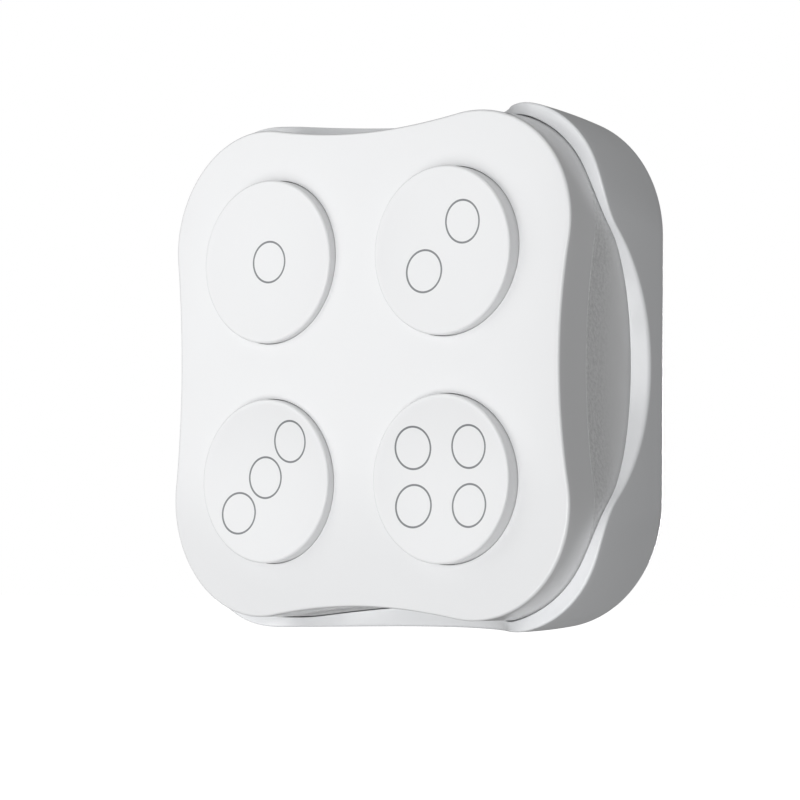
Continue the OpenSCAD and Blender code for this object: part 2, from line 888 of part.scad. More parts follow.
module pole_shapes() {
    for (flip = [0, 1]) {
        mirror([0, 0, flip]) {
            box([pole_x0, -pole_half_w, pole_half_gap], [pole_x1, pole_half_w, pole_half_gap + pole_t]);
        }
    }
}

module pole_plates() color(steel) stand() tipped() pole_shapes();

module magnets() {
    color(iron_grey) stand() tipped() for (flip = [0, 1]) {
        mirror([0, flip, 0]) {
            box([magnet_x0, magnet_y0, -pole_half_gap], [magnet_x1, magnet_y1, pole_half_gap]);
        }
    }
}

module leaf_spring() {
    color(steel) stand() tipped() {
        box([rocker_x0, -leaf_tail, leaf_z], [rocker_x1, leaf_tail, leaf_z + leaf_t]);
        box([(rocker_x0 + rocker_x1 - fork_w) / 2, 0, leaf_z],
            [(rocker_x0 + rocker_x1 + fork_w) / 2, leaf_end_y, leaf_z + leaf_t]);
    }
}

front_cover();
carrier_frame();
rear_shell();
wall_plate();
adhesive_pads();
case_screws();
placed_button(1);  // button_1
placed_button(2);  // button_2
placed_button(3);  // button_3
placed_button(4);  // button_4
drive_spring(1);  // drive_spring_1
drive_spring(2);  // drive_spring_2
drive_spring(3);  // drive_spring_3
drive_spring(4);  // drive_spring_4
press_plate();
return_springs();
circuit_board();
board_screws();
contact_domes();
radio_module();
storage_capacitors();
rectifier();
voltage_regulator();
antenna_wire();
generator_frame();
iron_core();
coil_bobbins();
coil_windings();
pivot_pin();
rocker();
magnets();
pole_plates();
leaf_spring();
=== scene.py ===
"""Looks of a self-powered wall switch with four round buttons, built around its CAD frame."""
import math

import bmesh
import bpy
import numpy as np
from mathutils import Matrix, Vector


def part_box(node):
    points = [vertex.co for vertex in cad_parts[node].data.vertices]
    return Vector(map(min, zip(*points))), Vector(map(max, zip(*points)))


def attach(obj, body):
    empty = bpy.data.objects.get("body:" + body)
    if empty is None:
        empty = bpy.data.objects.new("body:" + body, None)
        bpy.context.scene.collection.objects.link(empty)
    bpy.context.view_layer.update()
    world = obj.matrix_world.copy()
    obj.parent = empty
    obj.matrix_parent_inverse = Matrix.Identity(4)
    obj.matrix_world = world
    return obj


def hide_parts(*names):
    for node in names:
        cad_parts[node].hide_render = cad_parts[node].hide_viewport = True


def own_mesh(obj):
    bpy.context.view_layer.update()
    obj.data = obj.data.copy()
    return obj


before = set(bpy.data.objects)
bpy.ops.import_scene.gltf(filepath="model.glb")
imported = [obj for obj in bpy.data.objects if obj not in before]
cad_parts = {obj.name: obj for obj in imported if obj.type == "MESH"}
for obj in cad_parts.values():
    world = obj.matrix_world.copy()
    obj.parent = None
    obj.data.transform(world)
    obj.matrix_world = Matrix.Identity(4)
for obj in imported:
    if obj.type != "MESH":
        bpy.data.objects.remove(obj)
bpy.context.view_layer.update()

# Shapes are worked out in millimetres: x to the right, y up the wall, depth from the wall to the user.
MM = 0.001
FULL_TURN = 2 * math.pi
QUARTER_TURN = math.pi / 2


def node_size(name):
    """Lowest and highest x, y and depth of a CAD node, in millimetres."""
    low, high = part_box(name)
    return np.array([low.x, low.z, -high.y]) / MM, np.array([high.x, high.z, -low.y]) / MM


# Sizes read from the frame
BUTTON_LOW, BUTTON_HIGH = node_size("button_2")
HALF_PITCH = (BUTTON_LOW[0] + BUTTON_HIGH[0]) / 2
CAP_FRONT = BUTTON_HIGH[2]
DOME_APEX = node_size("front_cover")[1][2]
SHELL_HALF = node_size("rear_shell")[1][0]
FLOOR_DEPTH = node_size("carrier_frame")[0][2]

# Lobed outline of the front block: round lobes at the corners, and hollow waists between them
LOBE_POS = 22.25
LOBE_R = 19.25
WAIST_HALF = 39.8
WAIST_TRIM = 0.7
WALL = 2.0
WAIST_DIP = LOBE_R - WAIST_HALF + LOBE_POS
WAIST_R = ((WAIST_HALF - LOBE_POS) ** 2 + LOBE_POS ** 2 - LOBE_R ** 2) / (2 * WAIST_DIP)
WAIST_CENTRE = WAIST_HALF + WAIST_R
TANGENT = math.atan2(LOBE_POS, WAIST_CENTRE - LOBE_POS)

# Face, seam and edges of the front block
DOME_R = 500.0
FACE_T = 2.0
SEAM = 18.3
SEAM_BEVEL = 0.12
EDGE_R = 0.5
ROLL_W = 1.0
ROLL_D = 0.08

# Buttons, and the side of the middle that each is on
CAP_R = 13.7
CAP_GAP = 0.12
CAP_WALL = 1.6
CAP_TOP = 1.8
CAP_EDGE_R = 0.4
DISH_SAG = 0.94
COLLAR_T = 1.55
COLLAR_DEPTH = 21.945
CAP_FOOT = 20.445
HUB_R = 3.0
HUB_DEPTH = 21.845
HOLE_R = CAP_R + CAP_GAP
BUTTON_SIDES = {1: (-1, 1), 2: (1, 1), 3: (-1, -1), 4: (1, -1)}

# Count rings on the caps, as places from the cap's centre, and shares of the line at which its edge fades
RING_R = 3.42
RING_LINE = 0.33
RING_FULL = 0.4
RING_END = 0.6
RING_PLACES = {
    1: [(-0.1, 0)],
    2: [(-3.9, -3.2), (3.85, 4.45)],
    3: [(-6.0, -5.35), (-0.5, 0.6), (5.1, 6.55)],
    4: [(-5.65, -4.35), (5.55, -4.3), (-5.8, 5.05), (5.4, 5.1)],
}

# Rear shell: its rim is high at the corners and scooped at the middle of each side
RIM_CORNER_R = 18.0
FOOT_CORNER_R = 21.0
SHELL_TAPER = 0.55
RIM_HIGH = 18.4
RIM_LOW = 4.3
SCOOP_R = 28.5
SCOOP_BLEND = 13.0
RIM_RISE = 1.7
RIM_RISE_REACH = 22.0
RIM_EDGE_R = 0.5
RIM_LIP_R = 0.25
SHELL_GAP = 0.18
FOOT_R = 0.4
FLANGE_W = 4.0
LIP_W = 2.5
PLATE_LIP = 1.4
SCOOP_DEPTH = RIM_LOW + SCOOP_R
BLEND_END = math.sqrt((SCOOP_R + SCOOP_BLEND) ** 2 - (SCOOP_DEPTH - RIM_HIGH + SCOOP_BLEND) ** 2)
SCOOP_END = BLEND_END * SCOOP_R / (SCOOP_R + SCOOP_BLEND)

# Carrier
CARRIER_LIP_GAP = 0.1
CARRIER_LIP_T = 1.0
CARRIER_LIP_H = 1.3
CARRIER_LIP_ROOT = 2.0
CARRIER_FLOOR_T = 1.6
CARRIER_EDGE_R = 0.3

# Springs and contact domes
WIRE_R = 0.35
DRIVE_TURNS = 5
RETURN_TURNS = 6
FLAT_TURNS = 0.5
RETURN_REACH = 3.95
DOME_TOP_R = 2.0
DOME_LEDGE = 0.2
DOME_FOOT_H = 0.6
DOME_CROWN_H = 0.6
LEG_OFFSET = 5.0

# Foam pads: the back swells by the crown, through rings at these shares of the outline
PAD_H = 9.0
PAD_CORNER_R = 1.5
PAD_CROWN = 0.15
PAD_SHARES = (0.95, 0.85, 0.7, 0.5, 0.25, 0.0)

# Fineness of the meshes: steps along a stretch or round a turn, and distances in millimetres
STATIONS = 720
CAP_STEPS = 192
CONTACT_STEPS = 64
OUTLINE_POINTS = 150
BORDER_POINTS = 40
HALVINGS = 60
UNDER_STEPS = 7
ROLL_STEPS = 8
FACE_STEPS = 24
MARGIN_STEPS = 4
COVER_WALL_STEPS = 6
CARRIER_WALL_STEPS = 11
SHELL_WALL_STEPS = 13
DISH_STEPS = 23
ROUND_STEPS = 8
FOOT_STEPS = 4
RIM_STEPS = 9
LIP_STEPS = 5
DOME_BEND_STEPS = 6
PAD_EDGE_STEPS = 6
COIL_STEPS = 32
WIRE_SIDES = 10
MERGE_DISTANCE = 0.002
SLIVER = 0.0005
SHARP_DEG = 35
NEARLY_ZERO = 1e-12

# Camera: angles in degrees, lengths in half button pitches from the middle of the cap rims
VIEW_AZIMUTH = 38.11
VIEW_ELEVATION = -2.87
VIEW_ROLL = 0.39
VIEW_DISTANCE = 28.94
VIEW_RIGHT = 0.442
VIEW_UP = -0.2847
LENS = 146.16
SENSOR = 36.0
CLIP = (0.01, 100)

# Studio: square soft boxes with place and side in metres and power in watts, then fill light and floor
LIGHTS = [
    ("right_box", (0.8, -2.0, 0.1), 1.4, 16.5),
    ("low_box", (0.1, -2.1, -0.9), 1.6, 23.5),
    ("under_box", (0.1, -0.8, -1.7), 1.0, 1.5),
    ("top_box", (0.0, -0.5, 2.0), 1.2, 5.0),
    ("near_box", (-0.22, -0.285, 0.08), 0.24, 0.275),
    ("back_box", (-0.4, 2.25, -0.1), 0.5, 30.0),
]
FILL = 0.18
FLOOR_LEVEL = -0.5
FLOOR_SIZE = 60
FLOOR_ROUGHNESS = 0.9
FLOOR_GREY = (0.9, 0.9, 0.9, 1)
STUDIO_WHITE = (1, 1, 1, 1)

# Colours
WHITE = (0.815, 0.82, 0.828)
WHITE_SHADE = (0.807, 0.813, 0.822)
SHELL_WHITE = (0.868, 0.878, 0.893)
SHELL_SHADE = (0.86, 0.872, 0.887)
SPARK_WHITE = (0.81, 0.815, 0.82)
SPARK_SHADE = (0.69, 0.695, 0.7)
RING_GREY = (0.2, 0.21, 0.22)

# Drift of colour and gloss over a surface, in waves per metre, and the middle of the noise that is used
DRIFT_SCALE = 45
DRIFT_DETAIL = 3
GLOSS_SCALE = 160
GLOSS_DETAIL = 4
GRAIN_DETAIL = 3
GRAIN_STRENGTH = 0.5
NOISE_LOW = 0.3
NOISE_HIGH = 0.7

# Spark texture of the carrier: full at one depth behind the seam, and gone at another
SPARK_FULL = 1.5
SPARK_BAND = 8.5
SPARK_SCALE = 1600
SPARK_DETAIL = 1.5
SPARK_FINE = 0.6
SPARK_DEPTH = 0.06
SPARK_STRENGTH = 0.7
SPARK_ROUGHNESS = 0.5

# Finishes: two near colours, range of roughness, grain in waves per metre and its depth in millimetres.
# The last value of the foam is the strength of its grain.
GLOSSY_INPUTS = {"IOR": 1.5}
GLOSSY = {
    "gloss_white": (WHITE, WHITE_SHADE, (0.16, 0.22), 1800, 0.003),
    "shell_white": (SHELL_WHITE, SHELL_SHADE, (0.22, 0.27), 1200, 0.0015),
}
CAP_FINISH = (WHITE, WHITE_SHADE, (0.22, 0.27), 1200, 0.0015)
MATT = {
    "satin_white": ((0.78, 0.79, 0.79), (0.74, 0.75, 0.75), (0.4, 0.5), 2400, 0.015),
    "black_plastic": ((0.02, 0.021, 0.022), (0.03, 0.031, 0.032), (0.4, 0.5), 2600, 0.01),
    "natural_plastic": ((0.62, 0.6, 0.53), (0.58, 0.56, 0.5), (0.4, 0.5), 2600, 0.01),
    "board_green": ((0.02, 0.13, 0.06), (0.025, 0.16, 0.07), (0.25, 0.35), 3000, 0.01),
    "silicone": ((0.45, 0.47, 0.49), (0.4, 0.42, 0.44), (0.5, 0.6), 2400, 0.01),
    "foam": ((0.06, 0.062, 0.066), (0.1, 0.102, 0.106), (0.8, 0.95), 1600, 0.12, 1.0),
}
METAL_INPUTS = {"Metallic": 1.0}
METALS = {
    "steel": ((0.62, 0.63, 0.65), (0.54, 0.55, 0.57), (0.22, 0.34), 2400, 0.004),
    "tinned": ((0.66, 0.67, 0.68), (0.6, 0.61, 0.62), (0.26, 0.38), 1800, 0.004),
    "brass": ((0.72, 0.52, 0.22), (0.64, 0.45, 0.18), (0.2, 0.3), 1800, 0.004),
    "iron": ((0.26, 0.27, 0.29), (0.2, 0.21, 0.22), (0.4, 0.55), 2000, 0.008),
    "copper": ((0.62, 0.25, 0.1), (0.5, 0.19, 0.07), (0.25, 0.4), 2000, 0.008),
}

# CAD nodes that show as they are, by finish
NODE_LOOKS = {
    "satin_white": ["wall_plate"],
    "steel": ["case_screws", "board_screws", "pivot_pin", "leaf_spring"],
    "black_plastic": ["press_plate", "rectifier", "voltage_regulator", "coil_bobbins"],
    "board_green": ["circuit_board"],
    "tinned": ["radio_module", "storage_capacitors"],
    "brass": ["antenna_wire"],
    "natural_plastic": ["generator_frame", "rocker"],
    "iron": ["iron_core", "magnets", "pole_plates"],
    "copper": ["coil_windings"],
}


# Steps and turns

def spaced(first, last, steps):
    """Values from first to last in even steps, both ends included."""
    return np.linspace(first, last, steps + 1)


def quarter(steps):
    """Angles of a quarter turn, both ends included."""
    return spaced(0, QUARTER_TURN, steps)


def circle(steps):
    """Angles of a full turn, without the last one."""
    return np.linspace(0, FULL_TURN, steps, endpoint=False)


TURNS = circle(STATIONS)


# Outlines

def fold(angle):
    """Angle from the nearest x or y axis, between 0 and 45 degrees, in radians."""
    return np.abs((angle + QUARTER_TURN / 2) % QUARTER_TURN - QUARTER_TURN / 2)


def lobe_start(grow):
    """Angle at which the waist's arc meets the lobe's arc."""
    r = LOBE_R + grow
    return math.atan2(LOBE_POS - r * math.sin(TANGENT), LOBE_POS + r * math.cos(TANGENT))


def trim(angle, grow):
    """How far the outside lies further in at the top and bottom waists than at the side ones."""
    share = min(1, max(0, 1 + grow / WALL))
    return WAIST_TRIM * np.sin(angle) ** 4 * share


def lobed_radius(angle, grow=0.0):
    """Polar radius of the lobed outline, grown outwards."""
    a = fold(np.asarray(angle, float))
    waist = WAIST_CENTRE * np.cos(a)
    waist = waist - np.sqrt(np.maximum(0, (WAIST_R - grow) ** 2 - (WAIST_CENTRE * np.sin(a)) ** 2))
    across = LOBE_POS * (np.cos(a) - np.sin(a))
    lobe = LOBE_POS * (np.cos(a) + np.sin(a))
    lobe = lobe + np.sqrt(np.maximum(0, (LOBE_R + grow) ** 2 - across ** 2))
    return np.where(a < lobe_start(grow), waist, lobe) - trim(angle, grow)


def lobed_normal(x, y, grow):
    """Unit vector out of the lobed outline at points of the first quadrant that lie on it."""
    angle = np.arctan2(y, x)
    on_x_waist = angle < lobe_start(grow)
    on_y_waist = angle > QUARTER_TURN - lobe_start(grow)
    nx = np.where(on_x_waist, WAIST_CENTRE - x, np.where(on_y_waist, -x, x - LOBE_POS))
    ny = np.where(on_x_waist, -y, np.where(on_y_waist, WAIST_CENTRE - y, y - LOBE_POS))
    length = np.hypot(nx, ny)
    return nx / length, ny / length


def square_radius(angle, half, corner_r):
    """Polar radius of a square with round corners."""
    a = fold(angle)
    c = half - corner_r
    across = c * (np.cos(a) - np.sin(a))
    corner = c * (np.cos(a) + np.sin(a)) + np.sqrt(np.maximum(0, corner_r ** 2 - across ** 2))
    return np.where(a < np.arctan2(c, half), half / np.cos(a), corner)


def dome(x, y):
    """Depth of the domed face."""
    return DOME_APEX - DOME_R + np.sqrt(DOME_R ** 2 - x ** 2 - y ** 2)


# Meshes

def make_piece(name, shape, body, look, node):
    """A smooth closed mesh from points in millimetres and faces, riding on a body in place of a CAD node."""
    points, faces = np.asarray(shape[0], float), shape[1]
    corners = np.stack([points[:, 0], -points[:, 2], points[:, 1]], axis=1) * MM
    mesh = bpy.data.meshes.new(name)
    mesh.from_pydata(corners.tolist(), [], [list(map(int, f)) for f in faces])
    work = bmesh.new()
    work.from_mesh(mesh)
    bmesh.ops.remove_doubles(work, verts=work.verts, dist=MERGE_DISTANCE * MM)
    bmesh.ops.dissolve_degenerate(work, edges=work.edges, dist=SLIVER * MM)
    bmesh.ops.recalc_face_normals(work, faces=work.faces)
    work.to_mesh(mesh)
    work.free()
    mesh.polygons.foreach_set("use_smooth", [True] * len(mesh.polygons))
    mesh.set_sharp_from_angle(angle=math.radians(SHARP_DEG))
    mesh.materials.append(LOOKS[look])
    piece = bpy.data.objects.new(name, mesh)
    bpy.context.scene.collection.objects.link(piece)
    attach(piece, body)
    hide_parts(node)
    return piece


def squash(piece):
    """Gives a piece its own copy of its mesh."""
    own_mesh(piece)


def grid_faces(rows, columns, wrap_rows, wrap_columns, start=0):
    """Quads over a grid of points that was stored row by row."""
    faces = []
    for i in range(rows if wrap_rows else rows - 1):
        for j in range(columns if wrap_columns else columns - 1):
            a = start + i * columns + j
            b = start + i * columns + (j + 1) % columns
            c = start + (i + 1) % rows * columns + (j + 1) % columns
            d = start + (i + 1) % rows * columns + j
            faces.append((a, b, c, d))
    return faces


def bend(start, corner, end, steps):
    """Points of a soft corner, as a list of (a, b) pairs of arrays."""
    pairs = []
    for t in spaced(0, 1, steps):
        weights = ((1 - t) ** 2, 2 * t * (1 - t), t ** 2)
        ways = zip(start, corner, end)
        pairs.append(tuple(sum(w * p for w, p in zip(weights, way)) for way in ways))
    return pairs


def lathe(profile, centre, steps):
    """Points and faces of an outline of (radius, depth) turned about an axis at centre."""
    turns = circle(steps)
    r, d = np.array(profile).T
    x = centre[0] + np.outer(np.cos(turns), r)
    y = centre[1] + np.outer(np.sin(turns), r)
    points = np.stack([x, y, np.broadcast_to(d, x.shape)], axis=-1).reshape(-1, 3)
    return points, grid_faces(steps, len(profile), True, False)


def ring_loft(path, closed):
    """Points and faces of a path of (radius, depth), each one value or one for every station."""
    radius = np.array([np.broadcast_to(r, TURNS.shape) for r, _ in path])
    depth = np.array([np.broadcast_to(d, TURNS.shape) for _, d in path])
    points = np.stack([radius * np.cos(TURNS), radius * np.sin(TURNS), depth], axis=-1)
    return points.reshape(-1, 3), grid_faces(len(path), STATIONS, closed, True)


def joined(shapes):
    """Points and faces of several shapes as one."""
    points, faces = [], []
    for shape_points, shape_faces in shapes:
        start = sum(map(len, points))
        points.append(shape_points)
        faces += [[start + i for i in f] for f in shape_faces]
    return np.concatenate(points), faces


# Front cover

def hole_to_edge():
    """Directions round a hole of the first quadrant, and how far it is to the quadrant's inner border."""
    inner = WAIST_HALF - WALL
    low = math.atan2(-HALF_PITCH, inner - HALF_PITCH)
    high = math.atan2(inner - HALF_PITCH, -HALF_PITCH)
    diagonal = math.pi + QUARTER_TURN / 2
    outline = np.linspace(low, high, OUTLINE_POINTS)
    up_side = np.linspace(high, diagonal, BORDER_POINTS)[1:]
    low_side = np.linspace(diagonal, low + FULL_TURN, BORDER_POINTS)[1:-1]
    angles = np.concatenate([outline, up_side, low_side])
    cos, sin = np.cos(angles), np.sin(angles)
    near = np.full(angles.shape, HOLE_R)
    far = np.full(angles.shape, 2 * WAIST_HALF)
    for _ in range(HALVINGS):
        mid = (near + far) / 2
        x, y = HALF_PITCH + mid * cos, HALF_PITCH + mid * sin
        inside = np.hypot(x, y) < lobed_radius(np.arctan2(y, x), -WALL)
        near = np.where(inside, mid, near)
        far = np.where(inside, far, mid)
    reach = near
    for way in (cos, sin):
        to_axis = -HALF_PITCH / np.minimum(way, -NEARLY_ZERO)
        reach = np.where(way < 0, np.minimum(reach, to_axis), reach)
    return angles, reach


def face_points(x, y, drop, depth):
    """Points at a drop below the domed face, or at a depth where one is given."""
    d = dome(x, y) - drop if depth is None else np.full(x.shape, depth)
    return np.stack([x, y, d], axis=-1)


def cover_quadrant():
    """Points and faces of the cover's first quadrant: face, hole, collar, skirt and inside."""
    angles, reach = hole_to_edge()
    cos, sin = np.cos(angles), np.sin(angles)

    def at(radius, drop=0.0, depth=None):
        """A ring of points round the hole."""
        return face_points(HALF_PITCH + radius * cos, HALF_PITCH + radius * sin, drop, depth)

    def between(start, share):
        """Radii at a share of the way from start to the border."""
        return start + (reach - start) * share

    collar_r = HOLE_R + COLLAR_T
    rings = [at(between(collar_r, s), FACE_T) for s in spaced(1, 0, UNDER_STEPS)]
    rings += [at(collar_r, depth=COLLAR_DEPTH), at(HOLE_R, depth=COLLAR_DEPTH)]
    rings += [at(HOLE_R + ROLL_W * s, ROLL_D * (1 - s) ** 2) for s in spaced(0, 1, ROLL_STEPS)]
    rings += [at(between(HOLE_R + ROLL_W, s)) for s in spaced(0, 1, FACE_STEPS)[1:]]
    points = np.concatenate(rings)
    faces = grid_faces(len(rings), len(angles), False, True)

    border = rings[-1][:OUTLINE_POINTS]
    nx, ny = lobed_normal(border[:, 0], border[:, 1], -WALL)

    def out(grow, drop=0.0, depth=None):
        """A row of points along the lobed outline, grown outwards."""
        x = border[:, 0] + nx * (WALL + grow)
        y = border[:, 1] + ny * (WALL + grow)
        keep = 1 - trim(np.arctan2(y, x), grow) / np.hypot(x, y)
        return face_points(x * keep, y * keep, drop, depth)

    band = [border] + [out(g) for g in spaced(-WALL, -EDGE_R, MARGIN_STEPS)[1:-1]]
    band += [out(-EDGE_R * (1 - math.sin(b)), EDGE_R * (1 - math.cos(b))) for b in quarter(ROUND_STEPS)]
    top = band[-1][:, 2]
    for s in spaced(0, 1, COVER_WALL_STEPS)[1:]:
        wall = out(0.0)
        wall[:, 2] = top + (SEAM - top) * s
        band.append(wall)
    band += [out(-WALL, depth=SEAM), rings[0][:OUTLINE_POINTS]]
    faces += grid_faces(len(band), OUTLINE_POINTS, False, False, len(points))
    return np.concatenate([points, *band]), faces


def four_quadrants(points, faces):
    """A quadrant and its three mirror images."""
    all_points, all_faces = [], []
    for sx in (1, -1):
        for sy in (1, -1):
            start = len(points) * len(all_points)
            all_points.append(points * np.array([sx, sy, 1]))
            for f in faces:
                ids = [start + i for i in f]
                all_faces.append(ids if sx * sy > 0 else ids[::-1])
    return np.concatenate(all_points), all_faces


# Carrier, rear shell and buttons

def carrier_path():
    """Closed tray: outside wall, seam bevel, lip, inside wall and floor."""
    lip = -WALL - CARRIER_LIP_GAP
    lip_inside = lip - CARRIER_LIP_T
    lip_top = SEAM + CARRIER_LIP_H
    root = SEAM - CARRIER_LIP_ROOT
    floor_top = FLOOR_DEPTH + CARRIER_FLOOR_T
    wall = spaced(FLOOR_DEPTH + CARRIER_EDGE_R, SEAM - SEAM_BEVEL, CARRIER_WALL_STEPS)
    grows = [(-CARRIER_EDGE_R, FLOOR_DEPTH)] + [(0.0, d) for d in wall]
    grows += [(-SEAM_BEVEL, SEAM), (lip, SEAM), (lip, lip_top), (lip_inside, lip_top), (lip_inside, root)]
    grows += [(-WALL, root), (-WALL, floor_top)]
    return [(0.0, FLOOR_DEPTH)] + [(lobed_radius(TURNS, g), d) for g, d in grows] + [(0.0, floor_top)]


def rim_outer(s):
    """Depth of the shell's rim at s along a side from its middle."""
    scoop = SCOOP_DEPTH - np.sqrt(np.maximum(0, SCOOP_R ** 2 - s ** 2))
    blend = RIM_HIGH - SCOOP_BLEND + np.sqrt(np.maximum(0, SCOOP_BLEND ** 2 - (BLEND_END - s) ** 2))
    return np.where(s < SCOOP_END, scoop, np.where(s < BLEND_END, blend, RIM_HIGH))


def rim_inner(s):
    """Depth of the rim's inner edge, which stands above the outer edge near the middle of a side."""
    return rim_outer(s) + RIM_RISE * np.maximum(0, 1 - (s / RIM_RISE_REACH) ** 2)


def shell_radius(depth):
    """Polar radius of the shell's outside at every station."""
    down = 1 - np.minimum(1, depth / (RIM_HIGH - RIM_EDGE_R))
    half = SHELL_HALF - SHELL_TAPER * down ** 2
    return square_radius(TURNS, half, RIM_CORNER_R + (FOOT_CORNER_R - RIM_CORNER_R) * down)


def shell_path():
    """Section of the shell at every station: foot, outer wall, rim, inner wall and flange."""
    along = np.sin(fold(TURNS))
    inner = lobed_radius(TURNS, SHELL_GAP)
    flange = lobed_radius(TURNS, -FLANGE_W)
    lip = lobed_radius(TURNS, -LIP_W)
    top = rim_outer(shell_radius(RIM_HIGH) * along)
    inner_top = rim_inner(inner * along)
    side_end = top - RIM_EDGE_R
    side_r = shell_radius(side_end)
    lean = np.arctan2(inner_top - top, side_r - inner)
    foot = shell_radius(FOOT_R)
    path = [(foot - FOOT_R * (1 - math.sin(a)), FOOT_R * (1 - math.cos(a))) for a in quarter(FOOT_STEPS)]
    for share in spaced(0, 1, SHELL_WALL_STEPS)[1:-1]:
        depth = FOOT_R + (side_end - FOOT_R) * share
        path.append((shell_radius(depth), depth))
    path += bend(
        (side_r, side_end),
        (side_r, top),
        (side_r - RIM_EDGE_R * np.cos(lean), top + RIM_EDGE_R * np.sin(lean)),
        RIM_STEPS,
    )
    path += bend(
        (inner + RIM_LIP_R * np.cos(lean), inner_top - RIM_LIP_R * np.sin(lean)),
        (inner, inner_top),
        (inner, inner_top - RIM_LIP_R),
        LIP_STEPS,
    )
    path += [(inner, FLOOR_DEPTH), (flange, FLOOR_DEPTH), (flange, PLATE_LIP), (lip, PLATE_LIP), (lip, 0.0)]
    return path


def button_profile():
    """Outline of a cap from its hub, round the inside, up the wall and over the dish."""
    under = CAP_FRONT - DISH_SAG - CAP_TOP
    inside = CAP_R - CAP_WALL
    rim = CAP_R - CAP_EDGE_R
    dish_r = (rim ** 2 + DISH_SAG ** 2) / (2 * DISH_SAG)
    profile = [(0, HUB_DEPTH), (HUB_R, HUB_DEPTH), (HUB_R, under), (inside, under)]
    profile += [(inside, CAP_FOOT), (CAP_R, CAP_FOOT)]
    for a in quarter(ROUND_STEPS):
        profile.append((rim + CAP_EDGE_R * math.cos(a), CAP_FRONT - CAP_EDGE_R * (1 - math.sin(a))))
    for r in spaced(rim, 0, DISH_STEPS)[1:]:
        profile.append((r, CAP_FRONT - DISH_SAG + dish_r - math.sqrt(dish_r ** 2 - r ** 2)))
    return profile


# Springs, contact domes and foam pads

def coil(radius, turns, low, high, centre):
    """Points and faces of a wire wound from one depth to another, with flat ends."""
    turn = spaced(0, turns, turns * COIL_STEPS)
    share = np.clip((turn - FLAT_TURNS) / (turns - 2 * FLAT_TURNS), 0, 1)
    level = low + WIRE_R + share * (high - low - 2 * WIRE_R)
    around = circle(WIRE_SIDES)
    angle = FULL_TURN * turn[:, None]
    reach = radius + WIRE_R * np.cos(around)
    x = centre[0] + reach * np.cos(angle)
    y = centre[1] + reach * np.sin(angle)
    d = level[:, None] + WIRE_R * np.sin(around)
    points = np.stack([x, y, d], axis=-1).reshape(-1, 3)
    last = len(points) - WIRE_SIDES
    ends = [list(range(WIRE_SIDES)), list(range(last, len(points)))]
    return points, grid_faces(len(turn), WIRE_SIDES, False, True) + ends


def contact_dome_profile(low, high, base_r):
    """Outline of a silicone dome: foot, thin skirt and crown."""
    foot = low + DOME_FOOT_H
    shoulder = high - DOME_CROWN_H
    half_crown = DOME_CROWN_H / 2
    profile = [(0, low), (base_r, low), (base_r, foot)]
    profile += bend((base_r - DOME_LEDGE, foot), (DOME_TOP_R, foot), (DOME_TOP_R, shoulder), DOME_BEND_STEPS)
    profile += bend(
        (DOME_TOP_R, high - half_crown),
        (DOME_TOP_R, high),
        (DOME_TOP_R - half_crown, high),
        DOME_BEND_STEPS,
    )
    return profile + [(0, high)]


def pad_shape(low, high):
    """A foam pad with round corners whose back swells between its edges."""
    centre, half = (low + high)[:2] / 2, (high - low)[:2] / 2
    rim = []
    for turn, corner in enumerate(((1, 1), (-1, 1), (-1, -1), (1, -1))):
        middle = np.array(corner) * (half - PAD_CORNER_R)
        for a in quarter(ROUND_STEPS) + turn * QUARTER_TURN:
            rim.append(middle + PAD_CORNER_R * np.array([math.cos(a), math.sin(a)]))
    rim = np.array(rim)
    rings = [(0.0, high[2]), (1.0, high[2])]
    for a in quarter(PAD_EDGE_STEPS):
        rings.append((1 - PAD_CROWN / half[1] * (1 - math.cos(a)), low[2] + PAD_CROWN * (2 - math.sin(a))))
    rings += [(s, low[2] + PAD_CROWN * s ** 4) for s in PAD_SHARES]
    points = [np.column_stack([centre + rim * s, np.full(len(rim), d)]) for s, d in rings]
    return np.concatenate(points), grid_faces(len(rings), len(rim), False, True)


# Materials

def feed(tree, node, *in_order, **by_name):
    """Gives a shader node its inputs: a socket is linked, and a constant is set on the input itself."""
    named = [(node.inputs[name.replace("_", " ")], value) for name, value in by_name.items()]
    for socket, value in [*zip(node.inputs, in_order), *named]:
        if isinstance(value, bpy.types.NodeSocket):
            tree.links.new(value, socket)
        else:
            socket.default_value = value
    return node


def add_node(tree, kind, *in_order, settings=None, **by_name):
    """A new shader node with its settings and inputs."""
    node = tree.nodes.new(kind)
    for name, value in (settings or {}).items():
        setattr(node, name, value)
    return feed(tree, node, *in_order, **by_name)


def new_material(name, **sockets):
    """A principled material with constants set on its own sockets, its node tree and its shader."""
    material = bpy.data.materials.new(name)
    material.use_nodes = True
    tree = material.node_tree
    return material, tree, feed(tree, tree.nodes["Principled BSDF"], **sockets)


def own_place(tree):
    """The object's own coordinates."""
    return add_node(tree, "ShaderNodeTexCoord").outputs["Object"]


def noise(tree, scale, detail, roughness=0.5):
    """Noise over the object's own coordinates, with scale in waves per metre."""
    texture = add_node(
        tree, "ShaderNodeTexNoise", Vector=own_place(tree), Scale=scale, Detail=detail, Roughness=roughness)
    return texture.outputs["Fac"]


def remap(tree, value, settings=None, **ends):
    """Maps a value from one range onto another."""
    return add_node(tree, "ShaderNodeMapRange", settings=settings, Value=value, **ends).outputs["Result"]


def spread(tree, value, low, high):
    """Maps the middle of a noise onto a range."""
    return remap(tree, value, From_Min=NOISE_LOW, From_Max=NOISE_HIGH, To_Min=low, To_Max=high)


def calculate(tree, operation, *values):
    """Result of one step of arithmetic."""
    return add_node(tree, "ShaderNodeMath", *values, settings={"operation": operation}).outputs["Value"]


